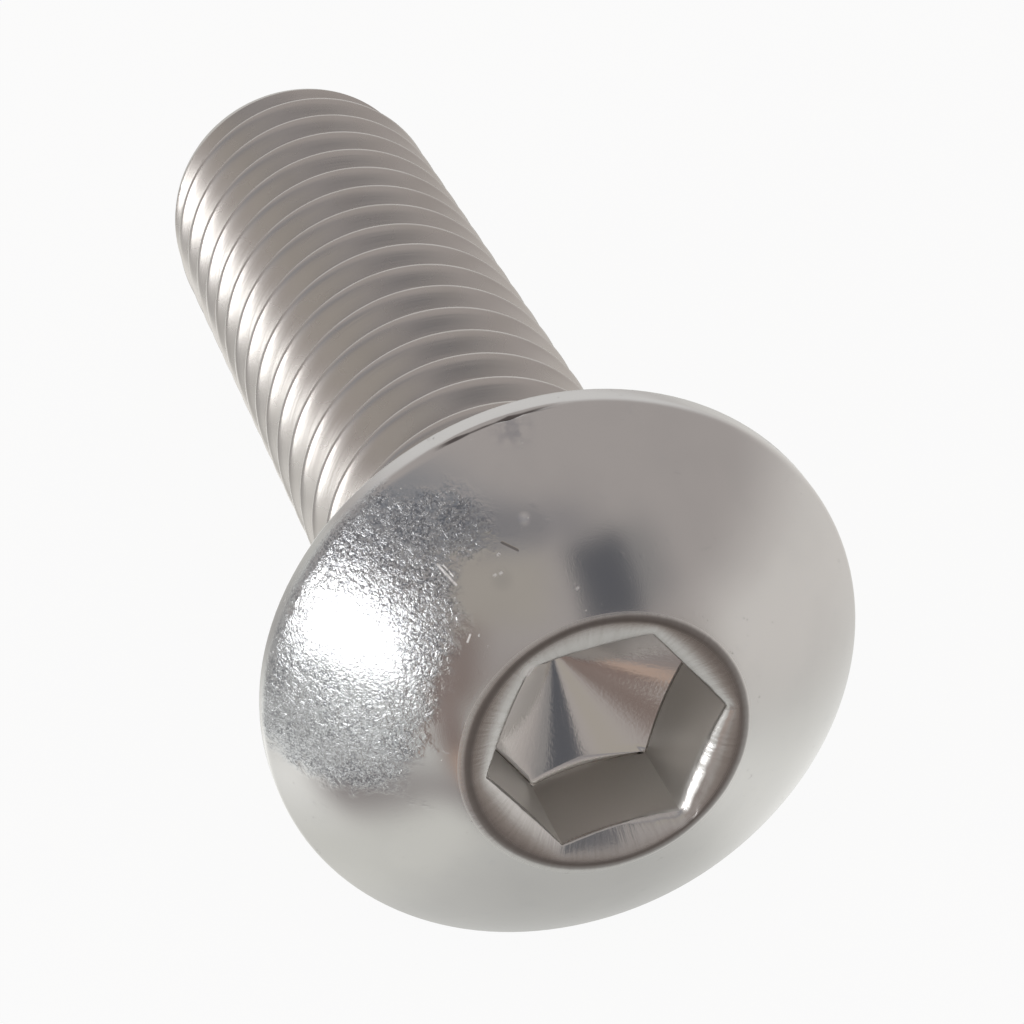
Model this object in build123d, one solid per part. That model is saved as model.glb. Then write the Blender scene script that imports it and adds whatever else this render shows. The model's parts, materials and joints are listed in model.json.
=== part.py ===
from build123d import *
import os
from math import asin, atan2, cos, degrees, hypot, radians, sin, sqrt, tan

# Button head socket screw, 3/8 in - 16 x 1-1/4 in, all lengths in millimetres.
# It is drawn on its own axis first: the bearing face under the head is z = 0,
# the dome rises along +Z and the shank runs down to the tip.

# Head
head_diameter = 16.4
head_height = 4.85
rim_height = 0.75
rim_corner_radius = 0.60
bearing_edge_radius = 0.15
under_head_radius = 0.50

# Shank: the blank that carries the thread, at the diameter over its crests
shank_diameter = 9.37
shank_length = 31.75
tip_end_diameter = 8.90
tip_chamfer_length = 1.10

# Hexagon socket, punched to a cone at the bottom and countersunk at the mouth
socket_across_flats = 5.60
socket_floor_height = 1.05
socket_floor_angle = 123
socket_mouth_diameter = 7.56
socket_mouth_angle = 140
socket_corner_turn = 23

# How far the cutting shapes stand out of the surface that they cut
cutter_overrun = 1.0

head_radius = head_diameter / 2
shank_radius = shank_diameter / 2
tip_end_radius = tip_end_diameter / 2
tip_crest_z = tip_chamfer_length - shank_length
socket_mouth_radius = socket_mouth_diameter / 2
socket_corner_radius = socket_across_flats / sqrt(3)


def dome_radius():
    """Radius of the sphere through the rim's top edge and the crown."""
    rise = head_height - rim_height
    return (head_radius**2 + rise**2) / (2 * rise)


def dome_height(radius):
    """Height of the dome above the bearing face, this far from the axis."""
    return head_height - dome_radius() + sqrt(dome_radius() ** 2 - radius**2)


def make_blank():
    """The whole screw without its socket, turned from one section."""
    dome_middle = head_radius / 2
    rounded_corners = [
        (head_radius, rim_height, rim_corner_radius),
        (head_radius, 0, bearing_edge_radius),
        (shank_radius, 0, under_head_radius),
    ]
    with BuildSketch(Plane.XZ) as section:
        with BuildLine():
            ThreePointArc(
                (0, head_height),
                (dome_middle, dome_height(dome_middle)),
                (head_radius, rim_height),
            )
            Polyline(
                (head_radius, rim_height),
                (head_radius, 0),
                (shank_radius, 0),
                (shank_radius, tip_crest_z),
                (tip_end_radius, -shank_length),
                (0, -shank_length),
                (0, head_height),
            )
        make_face()
        for radius, height, rounding in rounded_corners:
            corner = section.vertices().sort_by_distance((radius, height, 0))[0]
            fillet(corner, rounding)
    return revolve(section.sketch, Axis.Z)


def make_socket():
    """The space that the key goes into: a hexagon with a punched cone under it."""
    cone_drop = socket_corner_radius / tan(radians(socket_floor_angle / 2))
    corner_circle = 2 * socket_corner_radius
    with BuildSketch(Plane.XZ) as section:
        with BuildLine():
            Polyline(
                (0, socket_floor_height - cone_drop),
                (socket_corner_radius, socket_floor_height),
                (corner_circle, socket_floor_height + cone_drop),
                (corner_circle, head_height + cutter_overrun),
                (0, head_height + cutter_overrun),
                close=True,
            )
        make_face()
    punch = revolve(section.sketch, Axis.Z)
    hexagon = RegularPolygon(socket_corner_radius, 6, rotation=90 - socket_corner_turn)
    apex_height = socket_floor_height - cone_drop
    prism = extrude(Plane.XY.offset(apex_height) * hexagon, head_height + cutter_overrun - apex_height)
    return punch & prism


def make_mouth():
    """Shallow countersink that turns the socket's mouth into a circle on the dome."""
    mouth_height = dome_height(socket_mouth_radius)
    slope = tan(radians(90 - socket_mouth_angle / 2))
    clear_radius = socket_mouth_radius + cutter_overrun
    clear_height = mouth_height + cutter_overrun
    with BuildSketch(Plane.XZ) as section:
        with BuildLine():
            Polyline(
                (0, mouth_height - slope * socket_mouth_radius),
                (socket_mouth_radius, mouth_height),
                (clear_radius, clear_height),
                (0, clear_height),
                close=True,
            )
        make_face()
    return revolve(section.sketch, Axis.Z)


def resting_angle():
    """Angle by which the axis rises to the head, with rim and tip on one surface."""
    along = shank_length - tip_chamfer_length + bearing_edge_radius
    drop = head_radius - bearing_edge_radius - shank_radius
    return atan2(drop, along) + asin(bearing_edge_radius / hypot(along, drop))


def lay_down(screw):
    """Turn the head to -Y and let the rim and the tip's crest touch z = 0."""
    angle = resting_angle()
    tip_edge_height = tip_crest_z * sin(angle) - shank_radius * cos(angle)
    laid = Rot(90 - degrees(angle), 0, 0) * screw
    box = laid.bounding_box()
    middle = (box.min.Y + box.max.Y) / 2
    return Pos(0, -middle, -tip_edge_height) * laid


screw = lay_down(make_blank() - make_mouth() - make_socket())

os.makedirs("parts", exist_ok=True)
export_step(screw, "parts/screw.step")
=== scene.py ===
import json
from math import acos, atan2, cos, degrees, pi, radians, sin, sqrt, tan

import bmesh
import bpy
import numpy as np
from bpy.props import FloatProperty, FloatVectorProperty, PointerProperty
from bpy.types import Operator, Panel, PropertyGroup
from mathutils import Matrix, Vector


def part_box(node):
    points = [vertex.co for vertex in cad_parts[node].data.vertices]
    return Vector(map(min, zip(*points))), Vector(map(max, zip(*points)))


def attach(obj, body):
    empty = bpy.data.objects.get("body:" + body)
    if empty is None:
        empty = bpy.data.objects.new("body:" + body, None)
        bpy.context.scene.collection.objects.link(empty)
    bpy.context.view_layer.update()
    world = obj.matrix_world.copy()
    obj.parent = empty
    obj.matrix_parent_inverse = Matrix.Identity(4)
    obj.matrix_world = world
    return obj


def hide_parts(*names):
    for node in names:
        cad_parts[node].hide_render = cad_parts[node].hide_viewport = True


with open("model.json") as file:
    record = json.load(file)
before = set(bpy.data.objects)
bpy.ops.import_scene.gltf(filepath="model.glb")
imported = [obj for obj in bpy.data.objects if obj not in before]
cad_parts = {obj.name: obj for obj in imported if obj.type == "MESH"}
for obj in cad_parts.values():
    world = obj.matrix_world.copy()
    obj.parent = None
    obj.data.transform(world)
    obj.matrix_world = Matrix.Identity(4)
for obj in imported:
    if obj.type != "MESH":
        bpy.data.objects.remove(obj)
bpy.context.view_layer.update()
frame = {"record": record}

bl_info = {
    "name": "Button Head Screw",
    "version": (1, 0, 0),
    "blender": (4, 5, 0),
    "location": "3D View > Sidebar > Screw",
    "description": "A button head socket screw in satin stainless steel, lying on a pale studio floor",
    "category": "Add Mesh",
}

MM = 0.001

# The screw's own axes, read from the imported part: z = 0 is the bearing face and the
# head is on +z. "Up" is the screw's side that faces the sky as it lies.
MOUNTS = {mount["name"]: mount for mount in frame["record"]["mounts"]}
BEARING_FACE = MOUNTS["bearing_face"]
TO_HEAD = -Vector(BEARING_FACE["axis"]).normalized()
ACROSS = Vector((1, 0, 0))
UP = TO_HEAD.cross(ACROSS)
ORIGIN = Vector((0, BEARING_FACE["pos_m"][1], BEARING_FACE["pos_m"][2]))
SHANK_DIAMETER = 2 * MOUNTS["shank"]["dims"]["r_mm"] * MM
SCREW_LOW, SCREW_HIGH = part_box("screw")
HEAD_DIAMETER = SCREW_HIGH.x - SCREW_LOW.x


def length_property(name, description, default):
    """A size in metres, shown in the scene's own unit."""
    return FloatProperty(
        name=name, description=description, default=default, subtype="DISTANCE", unit="LENGTH"
    )


def share_property(name, description, default):
    """A number from none to all."""
    return FloatProperty(
        name=name, description=description, default=default, min=0.0, max=1.0, subtype="FACTOR"
    )


def colour_property(name, description, default):
    """A colour of the surface or the room."""
    return FloatVectorProperty(
        name=name, description=description, default=default, min=0.0, max=1.0, subtype="COLOR"
    )


class ScrewSizes(PropertyGroup):
    """The sizes of the screw."""

    head_diameter: length_property("Head Diameter", "Across the rim", HEAD_DIAMETER)
    head_height: length_property("Head Height", "From bearing face to crown", 4.85 * MM)
    rim_rounding: length_property("Rim Rounding", "Between the dome and the upright rim", 0.6 * MM)
    bearing_edge: length_property("Bearing Edge", "Rounding of the rim's lower edge", 0.15 * MM)
    dome_edge_height: length_property("Dome Edge Height", "Where dome and rim would meet", 0.75 * MM)
    under_head_fillet: length_property("Under Head Fillet", "Between bearing face and shank", 0.5 * MM)
    shank_diameter: length_property("Shank Diameter", "Over the thread's crests", SHANK_DIAMETER)
    shank_length: length_property("Shank Length", "From the bearing face to the tip", 31.75 * MM)
    tip_diameter: length_property("Tip Diameter", "The end face inside its chamfer", 8.9 * MM)
    tip_chamfer: length_property("Tip Chamfer", "Its length along the shank", 1.1 * MM)
    pitch: length_property("Thread Pitch", "From crest to crest, 16 to the inch", 25.4 / 16 * MM)
    thread_depth: length_property("Thread Depth", "From crest to root", 0.937 * MM)
    neck_end: length_property("Neck", "Plain shank under the head", 2.6 * MM)
    run_out: length_property("Run-out", "Over which the groove rises to the neck", 1.5 * MM)
    across_flats: length_property("Across Flats", "The hexagon socket's width", 5.6 * MM)
    mouth_diameter: length_property("Socket Mouth", "The countersink's outer circle", 7.56 * MM)
    floor_height: length_property("Socket Floor", "Its corners above the bearing face", 1.05 * MM)


class ScrewFinish(PropertyGroup):
    """The colours and the surface of the steel."""

    steel: colour_property("Steel", "Bright stainless steel", (0.62, 0.61, 0.60))
    thread_steel: colour_property("Thread Steel", "Rolled, a little duller", (0.58, 0.555, 0.535))
    socket_steel: colour_property("Socket Steel", "Punched, a little brighter", (0.80, 0.79, 0.77))
    # Also the colour of painted shade, in the trimming mark and along the socket's mouth
    grime_and_shade: colour_property("Grime", "What collects in edges and dents", (0.16, 0.145, 0.142))
    gloss: share_property("Head Roughness", "Of the head's smooth part", 0.17)
    grain: share_property("Grain", "Relief of the pitted patch on the head", 0.55)


class StudioSettings(PropertyGroup):
    """The floor, the light and the camera."""

    window_strength: FloatProperty(
        name="Window", description="Brightness of the soft lamps at the left", default=4.0, min=0.0
    )
    surround: colour_property("Surroundings", "The room above the floor", (0.52, 0.485, 0.47))
    floor: colour_property("Floor", "The pale floor", (0.86, 0.86, 0.86))
    lens: FloatProperty(name="Lens", description="Focal length in millimetres", default=106.08)


# How finely the mesh is cut: columns round the axis, a multiple of six so that the
# hexagon's corners fall on columns
COLUMNS = 144
FIRST_CORNER = radians(67)
COLUMN_ANGLES = FIRST_CORNER + 2 * pi * np.arange(COLUMNS) / COLUMNS

# A crest of the thread passes this angle at this height
CREST_ANGLE = radians(80)
CREST_HEIGHT = -7.978 * MM

# The countersink falls 20 degrees inwards, and the punched floor 28.5
COUNTERSINK_SLOPE = tan(radians(20))
FLOOR_SLOPE = tan(radians(28.5))

# How far outside the mouth's edge the dome's rows end and the socket's rows begin, in degrees
# round the dome's centre
MOUTH_OVERLAP = 0.9
# Points closer than this become one, shorter edges than this go, and edges that bend more
# than this are sharp
WELD_DISTANCE = 0.002 * MM
NO_LENGTH = 0.0001 * MM
SHARP_ANGLE = radians(38)

HEAD_STEEL, SOCKET_STEEL, THREAD_STEEL = range(3)


def arc(centre_r, centre_z, radius, start, end, count):
    """Points (r, z) on an arc of the section, from one angle in degrees to another."""
    angles = np.radians(np.linspace(start, end, count))
    return [(centre_r + radius * cos(a), centre_z + radius * sin(a)) for a in angles]


def straight(start, end, count):
    """Points (r, z) on a straight run of the section."""
    return [tuple(p) for p in np.linspace(start, end, count)]


def smaller(a, b, blend):
    """The smaller of two lengths, with the corner between them rounded."""
    return np.minimum(a, b) - np.maximum(blend - np.abs(a - b), 0) ** 2 / (4 * blend)


def larger(a, b, blend):
    """The larger of two lengths, with the corner between them rounded."""
    return -smaller(-a, -b, blend)


def swell(value, low, high):
    """Rises smoothly from 0 at low to 1 at high."""
    share = np.clip((value - low) / (high - low), 0, 1)
    return share * share * (3 - 2 * share)


class ScrewMesh:
    """Rows of points round the axis, joined to one mesh."""

    def __init__(self):
        self.points = []
        self.faces = []
        self.finishes = []

    def add_rows(self, rows, finish):
        """Joins rows of the same number of columns into quads that face outwards."""
        rows = np.asarray(rows)
        count, columns = rows.shape[:2]
        first = self.add_points(rows.reshape(-1, 3))
        index = first + np.arange(count * columns).reshape(count, columns)
        after = np.roll(index, -1, axis=1)
        quads = np.stack([index[:-1], index[1:], after[1:], after[:-1]], axis=-1).reshape(-1, 4)
        self.add_faces(quads, finish)

    def add_points(self, points):
        """Adds points and returns the number of the first of them."""
        first = sum(len(p) for p in self.points)
        self.points.append(points)
        return first

    def add_faces(self, quads, finish):
        self.faces.append(quads)
        self.finishes += [finish] * len(quads)


def ring(radius, height):
    """One row of points; radius and height are numbers or one value for each column."""
    row = np.empty((COLUMNS, 3))
    row[:, 0] = radius * np.cos(COLUMN_ANGLES)
    row[:, 1] = radius * np.sin(COLUMN_ANGLES)
    row[:, 2] = height
    return row


def dome_circle(sizes):
    """Radius of the dome's sphere and the height of its centre."""
    edge = sizes.head_diameter / 2
    rise = sizes.head_height - sizes.dome_edge_height
    radius = (edge**2 + rise**2) / (2 * rise)
    return radius, sizes.head_height - radius


def head_section(sizes):
    """From the socket's mouth over the dome and the rim to the neck, as (r, z)."""
    sphere, centre = dome_circle(sizes)
    rim = sizes.head_diameter / 2
    rounding = sizes.rim_rounding
    inner = rim - rounding
    rounding_height = centre + sqrt((sphere - rounding) ** 2 - inner**2)
    meets = degrees(atan2(rounding_height - centre, inner))
    mouth_angle = degrees(mouth_edge(sizes)[2])
    edge = sizes.bearing_edge
    shank = sizes.shank_diameter / 2
    fillet = sizes.under_head_fillet
    section = arc(0, centre, sphere, mouth_angle - MOUTH_OVERLAP, meets, 40)
    section += arc(inner, rounding_height, rounding, meets, 0, 18)[1:]
    section += arc(rim - edge, edge, edge, 0, -90, 7)
    section += straight((rim - edge, 0), (shank + fillet, 0), 7)[1:]
    section += arc(shank + fillet, -fillet, fillet, 90, 180, 8)[1:]
    section += straight((shank, -fillet), (shank, -sizes.neck_end), 5)[1:]
    return section


# The mark where the dome was trimmed to the rim: angles from up towards +X, and over which
# of them it fades in and out
TRIM_FROM, TRIM_TO = radians(-25), radians(0)
TRIM_FADE_IN, TRIM_FADE_OUT = 0.2, 0.15
TRIM_HEIGHT = 0.72 * MM
TRIM_HALF_WIDTH = 0.04 * MM
TRIM_DEPTH = 0.06 * MM
# How it wanders up and down: height, waves round the head, and start
TRIM_WAVES = ((0.03 * MM, 31, 0), (0.02 * MM, 73, 1))


def dent_rim(rows):
    """Presses the trimming mark into the rim of the head."""
    angle = np.arctan2(rows[..., 0], rows[..., 1])
    inside = swell(angle, TRIM_FROM, TRIM_FROM + TRIM_FADE_IN)
    inside *= 1 - swell(angle, TRIM_TO - TRIM_FADE_OUT, TRIM_TO)
    wander = sum(high * np.sin(angle * waves + start) for high, waves, start in TRIM_WAVES)
    across = (rows[..., 2] - TRIM_HEIGHT - wander) / TRIM_HALF_WIDTH
    depth = TRIM_DEPTH * inside * np.exp(-(across**2))
    radius = np.hypot(rows[..., 0], rows[..., 1])
    on_rim = radius > 0.45 * HEAD_DIAMETER
    shrink = 1 - np.where(on_rim, depth / radius, 0)
    rows[..., 0] *= shrink
    rows[..., 1] *= shrink
    return rows


def hexagon_radius(across_flats):
    """Distance of the hexagon from the axis, for each column."""
    from_corner = np.mod(COLUMN_ANGLES - FIRST_CORNER, pi / 3)
    return across_flats / 2 / np.cos(from_corner - pi / 6)


def bent(start, corner, end, count):
    """Pairs of r and z for each column, on a curve from start to end that rounds the corner."""
    places = [np.stack([np.broadcast_to(v, COLUMNS) for v in p]) for p in (start, corner, end)]
    pairs = []
    for t in np.linspace(0, 1, count):
        weights = ((1 - t) ** 2, 2 * t * (1 - t), t * t)
        pairs.append(sum(w * p for w, p in zip(weights, places)))
    return pairs


# Wear of the hexagon's upper edge: its rounding in millimetres at each corner and at the
# middle of each side, anticlockwise from the uppermost corner
EDGE_ROUNDING = (0.05, 0.04, 0.14, 0.06, 0.06, 0.10, 0.05, 0.05, 0.42, 0.36, 0.20, 0.05)
# How the countersink bends down to that edge at the same places: 1 straight, 2 round
RING_BEND = (1.7, 1.3, 1.5, 1.9, 2.0, 2.0, 1.8, 1.3, 1.6, 2.0, 2.2, 2.2)
# Rounding between wall and floor at the same places, in millimetres
FOOT_ROUNDING = (0.0, 0.0, 0.0, 0.0, 0.03, 0.08, 0.16, 0.22, 0.0, 0.0, 0.0, 0.0)
# The hexagon was punched a little off the middle
PUNCH_OFFSET = np.array((0.08, -0.01, 0)) * MM
# How far the mouth's edge is rounded inwards, and a step over which a slope is measured
MOUTH_ROUNDING = 0.10 * MM
SLOPE_STEP = 0.001 * MM


def round_the_hexagon(values):
    """A value for each column, from one for each corner and each side's middle."""
    places = np.arange(COLUMNS) / COLUMNS * len(values)
    return np.interp(places, np.arange(len(values) + 1), (*values, values[0]))


def mouth_edge(sizes):
    """Radius, height and angle up the dome of the countersink's outer circle."""
    sphere, centre = dome_circle(sizes)
    mouth = sizes.mouth_diameter / 2
    return mouth, centre + sqrt(sphere**2 - mouth**2), acos(mouth / sphere)


def socket_rows(sizes):
    """From the dome over the countersink, down the hexagon's walls to the floor's middle."""
    sphere, centre = dome_circle(sizes)
    mouth, mouth_height, mouth_angle = mouth_edge(sizes)
    start_angle = mouth_angle - radians(MOUTH_OVERLAP)
    dome_start = (sphere * cos(start_angle), centre + sphere * sin(start_angle))
    hexagon = hexagon_radius(sizes.across_flats)
    corner_radius = sizes.across_flats / sqrt(3)
    bend = round_the_hexagon(RING_BEND)
    edge = round_the_hexagon(EDGE_ROUNDING) * MM
    # the wear comes and goes along the edge
    edge *= 1 + 0.18 * np.sin(COLUMN_ANGLES * 31) * np.sin(COLUMN_ANGLES * 11 + 1)
    foot = round_the_hexagon(FOOT_ROUNDING) * MM

    def on_ring(radius):
        share = (mouth - radius) / (mouth - hexagon)
        return mouth_height - COUNTERSINK_SLOPE * (mouth - hexagon) * share**bend

    def on_floor(radius):
        return sizes.floor_height - FLOOR_SLOPE * (corner_radius - radius)

    ring_start = np.full(COLUMNS, mouth - MOUTH_ROUNDING)
    edge_start = hexagon + edge
    lip = bent(dome_start, (mouth, mouth_height), (ring_start, on_ring(ring_start)), 6)
    rows = [ring(*pair) for pair in lip]
    for share in np.linspace(0, 1, 12)[1:]:
        radius = ring_start + share * (edge_start - ring_start)
        rows.append(ring(radius, on_ring(radius)) + share * PUNCH_OFFSET)
    edge_height = on_ring(edge_start)
    steepness = (on_ring(edge_start + SLOPE_STEP) - edge_height) / SLOPE_STEP
    corner_height = edge_height - steepness * edge
    wall_top = corner_height - edge
    pairs = bent((edge_start, edge_height), (hexagon, corner_height), (hexagon, wall_top), 8)[1:]
    wall_foot = on_floor(hexagon) + foot
    for share in np.linspace(0, 1, 12)[1:]:
        pairs.append((hexagon, wall_top + share * (wall_foot - wall_top)))
    floor_start = hexagon - foot
    floor_edge = (floor_start, on_floor(floor_start))
    pairs += bent((hexagon, wall_foot), (hexagon, on_floor(hexagon)), floor_edge, 4)[1:]
    rows += [ring(*pair) + PUNCH_OFFSET for pair in pairs]
    for share in np.linspace(0, 1, 14)[1:]:
        radius = floor_start * (1 - share)
        rows.append(ring(radius, on_floor(radius)) + (1 - share) * PUNCH_OFFSET)
    return rows


# Where the thread's crest meets the flank, the flank meets the root, and the thread meets
# its run-out or the chamfer
CREST_ROUNDING = 0.17 * MM
ROOT_ROUNDING = 0.42 * MM
END_ROUNDING = 0.05 * MM


def thread_radius(sizes, from_crest, height):
    """Distance of the thread's surface from the axis; from_crest is along the axis."""
    crest = sizes.shank_diameter / 2
    # a flat crest an eighth of the pitch wide, and flanks at 60 degrees to each other
    flank = sqrt(3) * (from_crest - sizes.pitch / 16)
    depth = larger(flank, 0, CREST_ROUNDING)
    depth = smaller(depth, sizes.thread_depth, ROOT_ROUNDING)
    run_out = np.clip((-height - sizes.neck_end) / sizes.run_out, 0, 1)
    depth = np.maximum(smaller(depth, run_out * sizes.thread_depth, END_ROUNDING), 0)
    to_tip = sizes.shank_length + height
    slope = (crest - sizes.tip_diameter / 2) / sizes.tip_chamfer
    chamfer = sizes.tip_diameter / 2 + slope * to_tip
    return smaller(crest - depth, chamfer, END_ROUNDING)


# Where rows lie across half a pitch, as distances from the crest's middle in 32nds of one
PITCH_ROWS = (0, 1.2, 2.1, 2.8, 3.8, 5.6, 8.0, 10.2, 11.8, 13.0, 14.4)


def crest_distance(pitch, height):
    """Distance along the axis from a height to the nearest crest, for each column."""
    crest = CREST_HEIGHT + pitch * (COLUMN_ANGLES - CREST_ANGLE) / (2 * pi)
    return np.abs(np.mod(crest - height + pitch / 2, pitch) - pitch / 2)


def thread_rows(sizes):
    """Columns of points that follow the right-hand helix, and the quads between them."""
    pitch = sizes.pitch
    half = np.array(PITCH_ROWS) / 32 * pitch
    offsets = np.concatenate([half, [pitch / 2], pitch - half[:0:-1]])
    per_turn = len(offsets)
    top, bottom = -sizes.neck_end, -sizes.shank_length
    turns = int((top - bottom) / pitch) + 4
    down = np.concatenate([offsets + turn * pitch for turn in range(turns)])
    rise = pitch * (COLUMN_ANGLES - CREST_ANGLE) / (2 * pi)
    above = int(np.ceil((top + 2 * pitch - CREST_HEIGHT) / pitch))
    height = CREST_HEIGHT + above * pitch - down[:, None] + rise[None, :]
    held = np.clip(height, bottom, top)
    radius = thread_radius(sizes, crest_distance(pitch, held), held)
    points = np.stack(
        [radius * np.cos(COLUMN_ANGLES), radius * np.sin(COLUMN_ANGLES), held], axis=-1
    )
    index = np.arange(points.shape[0] * COLUMNS).reshape(-1, COLUMNS)
    inner = np.stack([index[:-1, :-1], index[1:, :-1], index[1:, 1:], index[:-1, 1:]], axis=-1)
    # the last column meets the first one a turn further down
    last, first = index[per_turn:, -1], index[:-per_turn, 0]
    seam = np.stack([last[:-1], last[1:], first[1:], first[:-1]], axis=-1)
    return points.reshape(-1, 3), np.concatenate([inner.reshape(-1, 4), seam])


# The end face: its rows, as shares of its radius, and how deep its hollow is
TIP_ROWS = (1, 0.985, 0.96, 0.9, 0.8, 0.68, 0.55, 0.42, 0.28, 0.15, 0.06, 0)
TIP_HOLLOW = 0.22 * MM


def tip_rows(sizes):
    """The end face: a little hollow, as a rolled thread leaves it."""
    end = np.full(COLUMNS, -sizes.shank_length)
    start = thread_radius(sizes, crest_distance(sizes.pitch, end), end)
    rows = []
    for share in TIP_ROWS:
        hollow = TIP_HOLLOW * swell(1 - share, 0.02, 0.75)
        rows.append(ring(start * share, -sizes.shank_length + hollow))
    return rows


def to_world(points):
    """From the screw's own axes to where it lies."""
    axes = np.array([ACROSS, UP, TO_HEAD])
    return points @ axes + np.array(ORIGIN)


def build_screw(sizes):
    """The whole screw as one closed mesh object."""
    mesh = ScrewMesh()
    head = np.array([ring(r, z) for r, z in head_section(sizes)])
    mesh.add_rows(dent_rim(head), HEAD_STEEL)
    mesh.add_rows(socket_rows(sizes)[::-1], SOCKET_STEEL)
    points, quads = thread_rows(sizes)
    mesh.add_faces(quads + mesh.add_points(points), THREAD_STEEL)
    mesh.add_rows(tip_rows(sizes), THREAD_STEEL)

    data = bpy.data.meshes.new("button_head_screw")
    positions = to_world(np.concatenate(mesh.points))
    data.from_pydata(positions.tolist(), [], np.concatenate(mesh.faces).tolist())
    data.polygons.foreach_set("material_index", mesh.finishes)
    joined = bmesh.new()
    joined.from_mesh(data)
    bmesh.ops.remove_doubles(joined, verts=joined.verts, dist=WELD_DISTANCE)
    bmesh.ops.dissolve_degenerate(joined, edges=joined.edges, dist=NO_LENGTH)
    bmesh.ops.recalc_face_normals(joined, faces=joined.faces)
    joined.to_mesh(data)
    joined.free()
    data.shade_smooth()
    data.set_sharp_from_angle(angle=SHARP_ANGLE)
    screw = bpy.data.objects.new("button_head_screw", data)
    bpy.context.scene.collection.objects.link(screw)
    return screw


class Number:
    """A number on a node's socket. Sums on it add Math nodes."""

    def __init__(self, wiring, socket):
        self.wiring = wiring
        self.socket = socket

    def maths(self, operation, *values):
        """A Math node; values are all its inputs in order, this number's own place among them."""
        node = self.wiring.add("ShaderNodeMath", {"operation": operation}, dict(enumerate(values)))
        return Number(self.wiring, node.outputs[0])

    def __add__(self, other):
        return self.maths("ADD", self, other)

    __radd__ = __add__

    def __sub__(self, other):
        return self.maths("SUBTRACT", self, other)

    def __rsub__(self, other):
        return self.maths("SUBTRACT", other, self)

    def __mul__(self, other):
        return self.maths("MULTIPLY", self, other)

    __rmul__ = __mul__

    def __abs__(self):
        return self.maths("ABSOLUTE", self)

    def root(self):
        return self.maths("SQRT", self)

    def at_most(self, other):
        return self.maths("MINIMUM", self, other)

    def at_least(self, other):
        return self.maths("MAXIMUM", self, other)

    def rises(self, low, high):
        """0 below low, 1 above high and smooth between; low may be the larger."""
        node = self.wiring.add(
            "ShaderNodeMapRange",
            {"interpolation_type": "SMOOTHSTEP"},
            {"Value": self, "From Min": low, "From Max": high},
        )
        return Number(self.wiring, node.outputs["Result"])


# The Mix node has a pair of inputs for each type; these are the colours' places
MIX_A, MIX_B, MIX_RESULT = 6, 7, 2


class Wiring:
    """The nodes of one material or of the world."""

    def __init__(self, owner):
        owner.use_nodes = True
        self.tree = owner.node_tree
        self.tree.nodes.clear()

    def add(self, kind, settings=None, inputs=None):
        """A node of this kind: its settings first, then values or links for its sockets."""
        node = self.tree.nodes.new(kind)
        for name, value in (settings or {}).items():
            setattr(node, name, value)
        for name, value in (inputs or {}).items():
            self.feed(node.inputs[name], value)
        return node

    def feed(self, socket, value):
        """Links or sets one socket of a node."""
        if isinstance(value, Number):
            value = value.socket
        if isinstance(value, bpy.types.NodeSocket):
            self.tree.links.new(value, socket)
        elif socket.type == "RGBA" and len(value) == 3:
            socket.default_value = (*value, 1.0)
        else:
            socket.default_value = value

    def mixed(self, share, first, second):
        """One colour turning to another as share goes from 0 to 1."""
        settings = {"data_type": "RGBA"}
        node = self.add("ShaderNodeMix", settings, {0: share, MIX_A: first, MIX_B: second})
        return node.outputs[MIX_RESULT]

    def blended(self, share, first, second):
        """One shader turning to another as share goes from 0 to 1."""
        inputs = {0: share, 1: first.outputs[0], 2: second.outputs[0]}
        return self.add("ShaderNodeMixShader", {}, inputs)

    def angle(self, opposite, adjacent):
        """The angle whose tangent is opposite over adjacent, in radians."""
        node = self.add("ShaderNodeMath", {"operation": "ARCTAN2"}, {0: opposite, 1: adjacent})
        return Number(self, node.outputs[0])

    def parts(self, vector):
        """The three numbers of a vector."""
        node = self.add("ShaderNodeSeparateXYZ", {}, {0: vector})
        return [Number(self, output) for output in node.outputs]

    def joined(self, x, y, z):
        """A vector of three numbers."""
        return self.add("ShaderNodeCombineXYZ", {}, {"X": x, "Y": y, "Z": z}).outputs[0]

    def vectors(self, operation, *values):
        """A Vector Math node; values are its inputs in order."""
        return self.add("ShaderNodeVectorMath", {"operation": operation}, dict(enumerate(values)))

    def dot(self, vector, direction):
        """How far a vector reaches in a direction."""
        return Number(self, self.vectors("DOT_PRODUCT", vector, direction).outputs["Value"])


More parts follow.
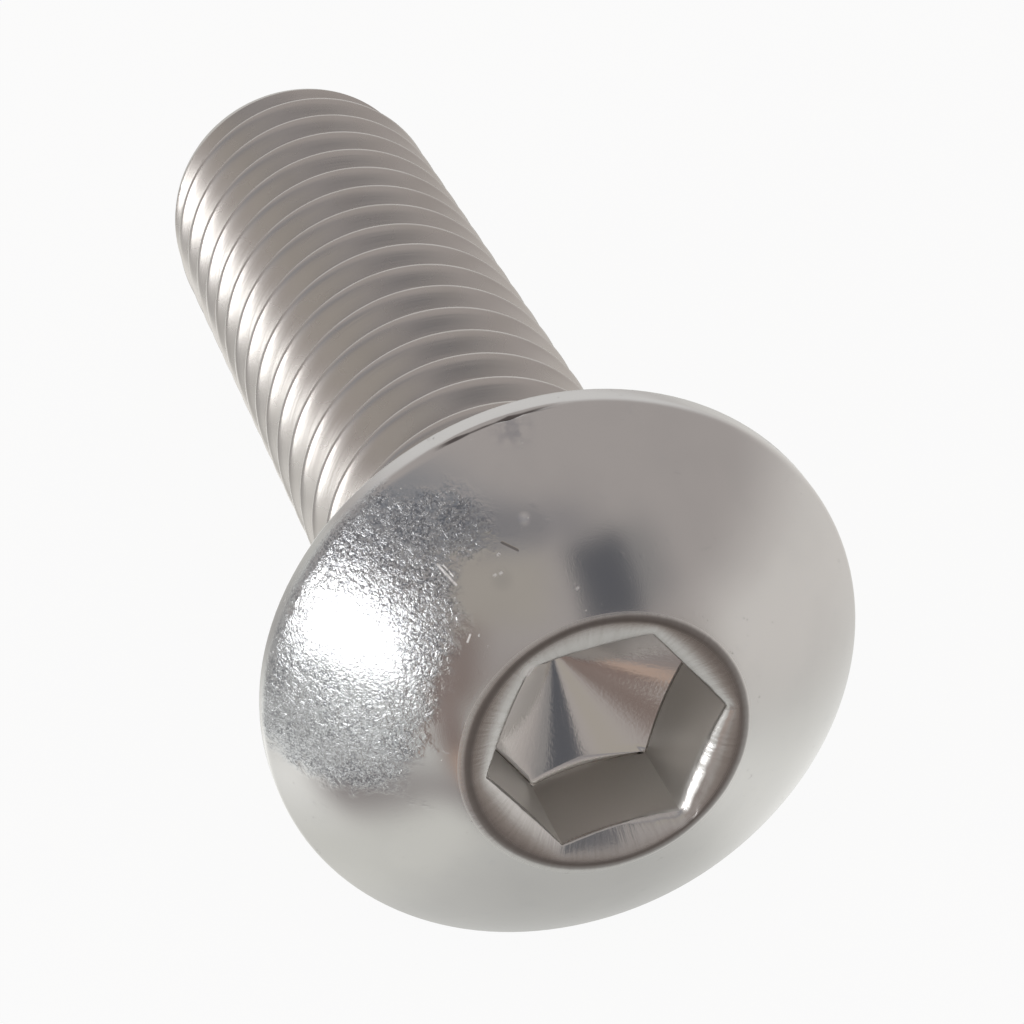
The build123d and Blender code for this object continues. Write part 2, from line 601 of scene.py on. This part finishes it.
class SteelWiring(Wiring):
    """A steel finish, with the surface's place in millimetres along the screw's own axes."""

    def __init__(self, name):
        self.material = bpy.data.materials.new(name)
        super().__init__(self.material)
        turned = Matrix((ACROSS, UP, TO_HEAD))
        coordinates = self.add("ShaderNodeTexCoord")
        mapping = self.add(
            "ShaderNodeMapping",
            {"vector_type": "POINT"},
            {
                "Vector": coordinates.outputs["Object"],
                "Location": -(turned @ ORIGIN) / MM,
                "Rotation": turned.to_euler("XYZ"),
                "Scale": (1 / MM, 1 / MM, 1 / MM),
            },
        )
        self.place = mapping.outputs["Vector"]
        self.x, self.y, self.z = self.parts(self.place)
        self.radius = (self.x * self.x + self.y * self.y).root()

    def noise(self, scale, detail=2.0, distortion=0.0, roughness=0.5, places=None):
        """Cloudy noise from 0 to 1, over the surface's place or other places."""
        inputs = {
            "Vector": self.place if places is None else places,
            "Scale": scale,
            "Detail": detail,
            "Distortion": distortion,
            "Roughness": roughness,
        }
        return Number(self, self.add("ShaderNodeTexNoise", {}, inputs).outputs["Fac"])

    def mark(self, start, end, half_width, soften):
        """1 on a straight mark between two places (x, y) seen from the head's front."""
        along = Vector(end) - Vector(start)
        length = along.length
        along /= length
        x, y = self.x - start[0], self.y - start[1]
        run = x * along.x + y * along.y
        held = run.at_least(0.0).at_most(length)
        off_x, off_y = x - held * along.x, y - held * along.y
        distance = (off_x * off_x + off_y * off_y).root()
        return distance.rises(half_width + soften, half_width)

    def spot(self, centre, radius, soften):
        """1 inside a round spot about a place (x, y, z)."""
        x, y, z = self.x - centre[0], self.y - centre[1], self.z - centre[2]
        distance = (x * x + y * y + z * z).root()
        return distance.rises(radius + soften, radius)

    def bump(self, height, depth):
        """height from 0 to 1 becomes relief of this depth in millimetres."""
        inputs = {"Height": height, "Distance": depth * MM, "Strength": 1.0}
        return self.add("ShaderNodeBump", {}, inputs).outputs["Normal"]

    def finish(self, colour, roughness, normal):
        """Joins the surface's values to the material and returns it."""
        inputs = {"Base Color": colour, "Metallic": 1.0, "Roughness": roughness, "Normal": normal}
        shader = self.add("ShaderNodeBsdfPrincipled", {}, inputs)
        self.add("ShaderNodeOutputMaterial", {}, {"Surface": shader.outputs[0]})
        return self.material


# Straight marks on the head, seen from its front: two ends (x, y), half width and softness,
# in millimetres
SIDE_PATCH = ((-5.20, 4.90), (-6.60, 0.90), 1.2, 1.2)
UPPER_PATCH = ((-4.90, 5.90), (-3.10, 6.10), 0.2, 0.95)
# Real scratches, whitened as painted glints
BRIGHT_SCRATCHES = (
    ((-3.80, 5.24), (-3.46, 4.83), 0.012, 0.035),
    ((-3.67, 5.24), (-3.50, 5.02), 0.005, 0.03),
    ((-3.40, 3.52), (-3.31, 3.70), 0.005, 0.03),
)
DARK_SCRATCH = ((-2.20, 5.72), (-1.86, 5.55), 0.015, 0.03)
# A painted dark reflection, trailing from the pitted patch
GREY_TAIL = ((-3.00, 6.20), (-1.45, 5.98), 0.15, 0.55)
# Bright specks, painted glints: where each starts; all are as long, as wide and as bright
SPECKS = ((-2.35, 5.47), (-2.53, 5.03), (-2.38, 5.07), (-0.57, 4.59))
SPECK_REACH = (0.04, 0.02)
SPECK_SOFTNESS = 0.055
SPECK_STRENGTH = 0.8
# Round spots on the head: place (x, y, z), radius and softness, in millimetres
DENT = ((-1.56, 6.18, 2.63), 0.0, 0.22)
SCUFF = ((-1.35, 7.86, 1.02), 0.1, 0.62)
SMUDGE = ((-2.35, 4.9, 3.2), 0.05, 0.35)
RUBBED_SPOT = ((-6.0, 3.1, 2.1), 1.0, 1.1)

PATCH_TINT = (0.60, 0.615, 0.63)
# The grey of the painted shade in the pitted patch
PIT_SHADE_GREY = (0.30, 0.31, 0.33)
CLOUD_GREY = (0.48, 0.48, 0.48)
SCUFF_GREY = (0.30, 0.31, 0.35)
PAINTED_GLINT_WHITE = (1.0, 1.0, 1.0)

# Full height of the relief, of the head and socket and of the thread, in millimetres
RELIEF = 0.02
THREAD_RELIEF = 0.03


def head_scratch_glints(steel):
    """1 on the painted glints of the thin bright scratches and specks, weaker on some of them."""
    scratch_glints = steel.mark(*BRIGHT_SCRATCHES[0])
    for scratch in BRIGHT_SCRATCHES[1:]:
        scratch_glints = scratch_glints + steel.mark(*scratch)
    for x, y in SPECKS:
        end = (x + SPECK_REACH[0], y + SPECK_REACH[1])
        scratch_glints = scratch_glints + steel.mark((x, y), end, 0.0, SPECK_SOFTNESS) * SPECK_STRENGTH
    return scratch_glints


def head_steel(look):
    """Bright satin steel with a pitted patch on one side and a few handling marks; painted shade
    darkens the patch and the trimming mark, and painted glints whiten the scratches, specks and dent.
    """
    steel = SteelWiring("satin_head_steel")
    edge_wander = steel.noise(0.9, detail=3.0) - 0.5
    ragged = steel.noise(3.0, detail=3.0) - 0.5
    patch = steel.mark(*SIDE_PATCH).at_least(steel.mark(*UPPER_PATCH))
    pitted = (patch + edge_wander * 0.9 + ragged * 0.8).rises(0.12, 0.95)
    pitted = pitted * steel.z.rises(0.3, 0.8)

    worms = steel.noise(4.2, detail=3.0, distortion=1.3, roughness=0.6)
    pits = (worms + (pitted - 1.0) * 0.2).rises(0.50, 0.57)
    fine = steel.noise(15.0, distortion=0.3)
    satin = steel.noise(27.0, detail=1.0)
    clouds = steel.noise(0.55, detail=3.0)

    scratch_glints = (head_scratch_glints(steel) * (fine + worms).rises(0.72, 0.92)).at_most(1.0)
    dark_scratch = steel.mark(*DARK_SCRATCH)
    dent = steel.spot(*DENT)
    tail = steel.mark(*GREY_TAIL)
    scuff = steel.spot(*SCUFF) * ragged.rises(-0.15, 0.15)
    smudge = steel.spot(*SMUDGE)

    # painted shade along the trimming mark, a groove which the mesh has too
    angle = steel.angle(steel.x, steel.y)
    trim_shade = abs(steel.z - 0.74).rises(0.07, 0.03)
    trim_shade = trim_shade * angle.rises(-0.43, -0.36) * angle.rises(0.0, -0.1) * steel.radius.rises(7.6, 7.8)

    rubbed = steel.spot(*RUBBED_SPOT)
    height = (pits * 0.6 + worms * pitted * 1.5) * (1.0 - rubbed * 0.85)
    height = height + fine * (pitted * look.grain) * 0.6
    height = height + satin * 0.05 - dark_scratch * 0.3 + dent * 0.4
    relief = steel.bump(height, RELIEF)

    # Painted shade: the pits darker in clusters and the patch darker towards its top stand in for the
    # dark room it mirrors; the grey tail is a painted dark reflection, and the smudge darkens too
    clusters = steel.noise(1.4, detail=3.0).rises(0.38, 0.62) * 0.6 + 0.25
    shade = pitted * (fine.rises(0.55, 0.40) * clusters + steel.y.rises(3.8, 6.0) * 0.3)
    shade = (shade + smudge * 0.2 + tail * 0.2).at_most(1.0)
    colour = steel.mixed(pitted, look.steel, PATCH_TINT)
    colour = steel.mixed(shade, colour, PIT_SHADE_GREY)
    colour = steel.mixed(clouds.rises(0.40, 0.70) * 0.12, colour, CLOUD_GREY)
    colour = steel.mixed((scuff * 0.5).at_most(1.0), colour, SCUFF_GREY)
    # painted glints: the scratches, the specks and the dent's pale centre go white
    colour = steel.mixed((scratch_glints + dent * 0.35).at_most(1.0), colour, PAINTED_GLINT_WHITE)
    # painted shade in the trimming mark; the dark scratch goes darker too
    colour = steel.mixed((trim_shade + dark_scratch * 0.7).at_most(1.0), colour, look.grime_and_shade)
    roughness = look.gloss - pitted * 0.06 + (clouds - 0.5) * 0.06 + scratch_glints * 0.4 + trim_shade * 0.2
    return steel.finish(colour, roughness, relief)


# Two painted glints in the socket, rough and white: a spot at the hexagon's upper left corner, and a
# mark on the floor
CORNER_GLINT = ((-1.87, 2.57, 3.9), 0.1, 0.3)
FLOOR_GLINT = ((-0.8, -0.3), (-0.45, -0.05), 0.0, 0.12)

FLOOR_TINT = (0.66, 0.64, 0.62)
DRAWN_BROWN = (0.42, 0.39, 0.36)


def socket_steel(look, sizes):
    """Punched steel: drawn marks down the walls, painted shade along the mouth's outer edge, and two
    painted glints.
    """
    steel = SteelWiring("punched_socket_steel")
    mouth, mouth_height, _ = mouth_edge(sizes)
    corner_radius = sizes.across_flats / sqrt(3)
    angle = steel.angle(steel.x, steel.y)
    squeezed = steel.joined(angle * 22.0, steel.z * 0.7, steel.radius * 0.8)
    drawn = steel.noise(1.6, detail=3.0, distortion=0.2, places=squeezed)
    blotches = steel.noise(1.1, detail=3.0)
    rough_spots = steel.noise(12.0)

    below = (steel.radius - mouth / MM) * COUNTERSINK_SLOPE + mouth_height / MM - steel.z
    countersink = below.rises(0.16, 0.06)
    above = steel.z - (steel.radius - corner_radius / MM) * FLOOR_SLOPE - sizes.floor_height / MM
    floor = above.rises(0.12, 0.04)
    walls = (1.0 - floor) * (1.0 - countersink)
    # painted shade: the countersink darkens outwards to a dark line, which is a little off the middle
    off_middle = steel.radius - steel.x * 0.015
    outer_shade = off_middle.rises(3.5, 3.66) * 0.3 + off_middle.rises(3.56, 3.68) * 0.7
    shade_line = outer_shade * (off_middle + (blotches - 0.5) * 0.06).rises(3.88, 3.78)
    painted_glint = steel.spot(*CORNER_GLINT) + steel.mark(*FLOOR_GLINT)

    relief = steel.bump(drawn * (countersink * 0.25 + 0.06) + rough_spots * 0.1, RELIEF)
    colour = steel.mixed(countersink, look.socket_steel, look.steel)
    colour = steel.mixed(floor, colour, FLOOR_TINT)
    colour = steel.mixed(drawn.rises(0.35, 0.75) * countersink * 0.2, colour, DRAWN_BROWN)
    # painted shade along the mouth's outer edge
    colour = steel.mixed(shade_line * countersink * 0.62, colour, look.grime_and_shade)
    # painted glints go white
    colour = steel.mixed(painted_glint.at_most(1.0), colour, PAINTED_GLINT_WHITE)
    roughness = 0.12 + (blotches - 0.5) * 0.06 + shade_line * 0.1 + countersink * 0.12
    roughness = roughness + walls * 0.3 + painted_glint * 0.35
    return steel.finish(colour, roughness, relief)


ROOT_SHADE = (0.44, 0.415, 0.385)
BLOTCH_TINT = (0.46, 0.43, 0.39)


def thread_steel(look):
    """Rolled steel: fine lines along the helix, and painted shade in the root, against which the
    crests look brighter.
    """
    steel = SteelWiring("rolled_thread_steel")
    along = steel.joined(steel.radius * 14.0, steel.z * 0.9, steel.x * 0.25)
    lines = steel.noise(1.5, detail=3.0, places=along)
    blotches = steel.noise(0.7, detail=3.0)
    # the end face is torn by the cut
    end = steel.z.rises(-31.3, -31.5) * steel.radius.rises(4.3, 4.1)
    torn = steel.noise(3.2, detail=4.0, distortion=1.2)
    relief = steel.bump(lines * 0.07 + torn * end, THREAD_RELIEF)
    # painted shade in the thread's root
    root = steel.radius.rises(4.1, 3.8)
    colour = steel.mixed(root * 0.45, look.thread_steel, ROOT_SHADE)
    colour = steel.mixed(blotches.rises(0.35, 0.8) * 0.2, colour, BLOTCH_TINT)
    roughness = 0.27 + (blotches - 0.5) * 0.08 + end * 0.1
    return steel.finish(colour, roughness, relief)


class SCREW_OT_add_screw(Operator):
    """Add the button head screw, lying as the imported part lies"""

    bl_idname = "screw.add_screw"
    bl_label = "Button Head Screw"

    def execute(self, context):
        look = context.scene.screw_finish
        sizes = context.scene.screw_sizes
        screw = build_screw(sizes)
        for material in (head_steel(look), socket_steel(look, sizes), thread_steel(look)):
            screw.data.materials.append(material)
        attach(screw, "root")
        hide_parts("screw")
        return {"FINISHED"}


def towards(azimuth, elevation):
    """A direction: azimuth in degrees from +Y towards +X, elevation above the floor."""
    around, rise = radians(azimuth), radians(elevation)
    return Vector((sin(around) * cos(rise), cos(around) * cos(rise), sin(rise)))


# A place inside the head, about which panels and lamps are set
HEAD_CENTRE = ORIGIN + TO_HEAD * 3 * MM

# What the steel mirrors round it, as panels: azimuth, elevation, half width and half
# height in degrees, softness in degrees, and the colour seen there. Below the horizon the
# floor shows them in the steel, so there they are painted shade, as under the head, and
# painted pools of light.
PANELS = (
    (12, 24, 38, 20, 12, (0.86, 0.85, 0.84)),
    (89, -9, 54, 18, 18, (0.86, 0.83, 0.80)),
    (88, -43, 60, 12, 11, (0.96, 0.96, 0.93)),
    (0, -90, 24, 24, 14, (0.64, 0.64, 0.62)),
    (-66, -13, 32, 9, 5, (0.50, 0.49, 0.48)),
    (-112, -16, 9, 5, 4, (1.15, 1.15, 1.12)),
    (-138, 3, 5, 12, 4, (1.5, 1.5, 1.47)),
    (-66, -35, 26, 10, 6, (1.15, 1.15, 1.12)),
    (-19, -20, 8, 9, 4, (1.3, 1.3, 1.27)),
    (-125, 49, 32, 11, 9, (0.34, 0.345, 0.365)),
    (-151, 19, 6, 24, 5, (0.27, 0.21, 0.19)),
    (-171, 49, 21, 5, 8, (0.315, 0.305, 0.32)),
    (153, 27, 13, 12, 7, (0.34, 0.33, 0.33)),
    (161, 26, 9, 14, 2.5, (0.13, 0.135, 0.153)),
    (-130, -35, 31, 10, 8, (0.33, 0.30, 0.30)),
    (168, -22, 34, 26, 13, (0.31, 0.265, 0.24)),
    (165, -19, 8, 15, 9, (0.155, 0.127, 0.115)),
    (-162, 30, 15, 11, 4, (0.51, 0.475, 0.43)),
    (-145, -12, 5, 13, 3, (0.27, 0.20, 0.18)),
    (-146, -23, 4, 5, 2, (0.60, 0.45, 0.37)),
    (-98, -46, 31, 10, 8, (0.84, 0.84, 0.80)),
)


def surroundings(wiring, direction, base):
    """The colour that a mirror ray meets in a direction."""
    colour = base
    for azimuth, elevation, half_width, half_height, soft, tone in PANELS:
        facing = towards(azimuth, elevation)
        right = towards(azimuth + 90, 0)
        over = right.cross(facing)
        depth = wiring.dot(direction, facing)
        across = abs(wiring.angle(wiring.dot(direction, right), depth))
        height = abs(wiring.angle(wiring.dot(direction, over), depth))
        mask = across.rises(radians(half_width + soft), radians(half_width - soft))
        mask = mask * height.rises(radians(half_height + soft), radians(half_height - soft))
        colour = wiring.mixed(mask, colour, tone)
    return colour


def ray_masks(wiring):
    """Two masks: 1 for the camera's rays, and 1 for rays that were mirrored or passed through."""
    path = wiring.add("ShaderNodeLightPath").outputs
    camera = Number(wiring, path["Is Camera Ray"])
    glossy = Number(wiring, path["Is Glossy Ray"])
    passing = Number(wiring, path["Is Transmission Ray"])
    return camera, glossy.at_least(passing)


WHITE = (1.0, 1.0, 1.0)


def light_world(studio):
    """Soft even light from the room; the steel mirrors the panels, and the camera sees white."""
    world = bpy.data.worlds.new("studio")
    bpy.context.scene.world = world
    wiring = Wiring(world)
    direction = wiring.add("ShaderNodeTexCoord").outputs["Generated"]
    camera, mirrored = ray_masks(wiring)
    base = tuple(studio.surround)
    room = wiring.add("ShaderNodeBackground", {}, {"Color": base})
    seen = surroundings(wiring, direction, base)
    panelled = wiring.add("ShaderNodeBackground", {}, {"Color": seen})
    white = wiring.add("ShaderNodeBackground", {}, {"Color": WHITE})
    shown = wiring.blended(mirrored, room, panelled)
    shown = wiring.blended(camera, shown, white)
    wiring.add("ShaderNodeOutputWorld", {}, {"Surface": shown.outputs[0]})


# How far the floor is plain white to the camera; the rest of it keeps the shadow
FLOOR_WHITENESS = 0.93
# The floor's colour in the steel, between the panels
MIRRORED_FLOOR = (0.72, 0.72, 0.695)
FLOOR_HALF_SIZE = 3.0


def floor_material(studio):
    """Pale floor: nearly white to the camera, keeps a soft shadow, and is mirrored pale, with the
    panels' painted light and shade.
    """
    material = bpy.data.materials.new("pale_floor")
    wiring = Wiring(material)
    camera, mirrored = ray_masks(wiring)
    place = wiring.add("ShaderNodeTexCoord").outputs["Object"]
    away = wiring.vectors("SUBTRACT", place, HEAD_CENTRE).outputs[0]
    away = wiring.vectors("NORMALIZE", away).outputs[0]
    seen = surroundings(wiring, away, MIRRORED_FLOOR)
    matt = wiring.add("ShaderNodeBsdfDiffuse", {}, {"Color": tuple(studio.floor)})
    white = wiring.add("ShaderNodeEmission", {}, {"Color": WHITE})
    pale = wiring.add("ShaderNodeEmission", {}, {"Color": seen})
    shown = wiring.blended(mirrored, matt, pale)
    shown = wiring.blended(camera * FLOOR_WHITENESS, shown, white)
    wiring.add("ShaderNodeOutputMaterial", {}, {"Surface": shown.outputs[0]})
    return material


def add_floor(studio):
    """The large flat floor that the screw lies on."""
    half = FLOOR_HALF_SIZE
    data = bpy.data.meshes.new("floor")
    corners = [(-half, -half, 0), (half, -half, 0), (half, half, 0), (-half, half, 0)]
    data.from_pydata(corners, [], [(0, 1, 2, 3)])
    data.materials.append(floor_material(studio))
    floor = bpy.data.objects.new("floor", data)
    bpy.context.scene.collection.objects.link(floor)


# The soft lamps at the left, as the head sees them: azimuth, elevation, half width and
# half height in degrees
LAMPS = {"window": (-116, 5, 15.5, 14), "window_corner": (-99, 16, 7, 7)}
LAMP_DISTANCE = 0.40


def add_lamps(studio):
    """Round soft lamps that together are as large as a window seen from the screw."""
    for name, (azimuth, elevation, half_width, half_height) in LAMPS.items():
        data = bpy.data.lights.new(name, "AREA")
        data.shape = "ELLIPSE"
        data.size = 2 * LAMP_DISTANCE * tan(radians(half_width))
        data.size_y = 2 * LAMP_DISTANCE * tan(radians(half_height))
        # an even lamp's energy over pi and its area is its radiance
        data.energy = studio.window_strength * pi * (pi / 4 * data.size * data.size_y)
        lamp = bpy.data.objects.new(name, data)
        facing = towards(azimuth, elevation)
        lamp.location = HEAD_CENTRE + facing * LAMP_DISTANCE
        lamp.rotation_euler = facing.to_track_quat("Z", "Y").to_euler()
        bpy.context.scene.collection.objects.link(lamp)


# The camera's place and where it looks, along the screw's own axes from the middle of the
# bearing face, and its sensor in millimetres
SENSOR_WIDTH = 36.0
CAMERA_PLACE = Vector((-18.794, 43.509, 65.356)) * MM
CAMERA_FORWARD = Vector((0.22631, -0.49560, -0.83854))


def add_camera(studio):
    """Looks down on the head from the front, a little from its left."""
    data = bpy.data.cameras.new("camera")
    data.lens = studio.lens
    data.sensor_width = SENSOR_WIDTH
    data.clip_start = 1 * MM
    camera = bpy.data.objects.new("camera", data)
    lying = Matrix((ACROSS, UP, TO_HEAD)).transposed()
    camera.location = ORIGIN + lying @ CAMERA_PLACE
    camera.rotation_euler = (lying @ CAMERA_FORWARD).to_track_quat("-Z", "Y").to_euler()
    bpy.context.scene.collection.objects.link(camera)
    bpy.context.scene.camera = camera


class SCREW_OT_add_stage(Operator):
    """Add the pale floor, the soft light and the camera"""

    bl_idname = "screw.add_stage"
    bl_label = "Studio Stage"

    def execute(self, context):
        studio = context.scene.screw_studio
        add_floor(studio)
        light_world(studio)
        add_lamps(studio)
        add_camera(studio)
        context.scene.view_settings.view_transform = "Standard"
        return {"FINISHED"}


class SCREW_PT_panel(Panel):
    """Lists the screw's sizes, finish and stage"""

    bl_label = "Button Head Screw"
    bl_idname = "SCREW_PT_panel"
    bl_space_type = "VIEW_3D"
    bl_region_type = "UI"
    bl_category = "Screw"

    def draw(self, context):
        for settings, operator in (
            (context.scene.screw_sizes, None),
            (context.scene.screw_finish, SCREW_OT_add_screw),
            (context.scene.screw_studio, SCREW_OT_add_stage),
        ):
            column = self.layout.column(align=True)
            for name in settings.__annotations__:
                column.prop(settings, name)
            if operator:
                column.operator(operator.bl_idname)


CLASSES = (
    ScrewSizes,
    ScrewFinish,
    StudioSettings,
    SCREW_OT_add_screw,
    SCREW_OT_add_stage,
    SCREW_PT_panel,
)


def register():
    for cls in CLASSES:
        bpy.utils.register_class(cls)
    bpy.types.Scene.screw_sizes = PointerProperty(type=ScrewSizes)
    bpy.types.Scene.screw_finish = PointerProperty(type=ScrewFinish)
    bpy.types.Scene.screw_studio = PointerProperty(type=StudioSettings)


def unregister():
    del bpy.types.Scene.screw_studio
    del bpy.types.Scene.screw_finish
    del bpy.types.Scene.screw_sizes
    for cls in reversed(CLASSES):
        bpy.utils.unregister_class(cls)


def main():
    register()
    bpy.ops.screw.add_screw()
    bpy.ops.screw.add_stage()


if __name__ == "__main__":
    main()
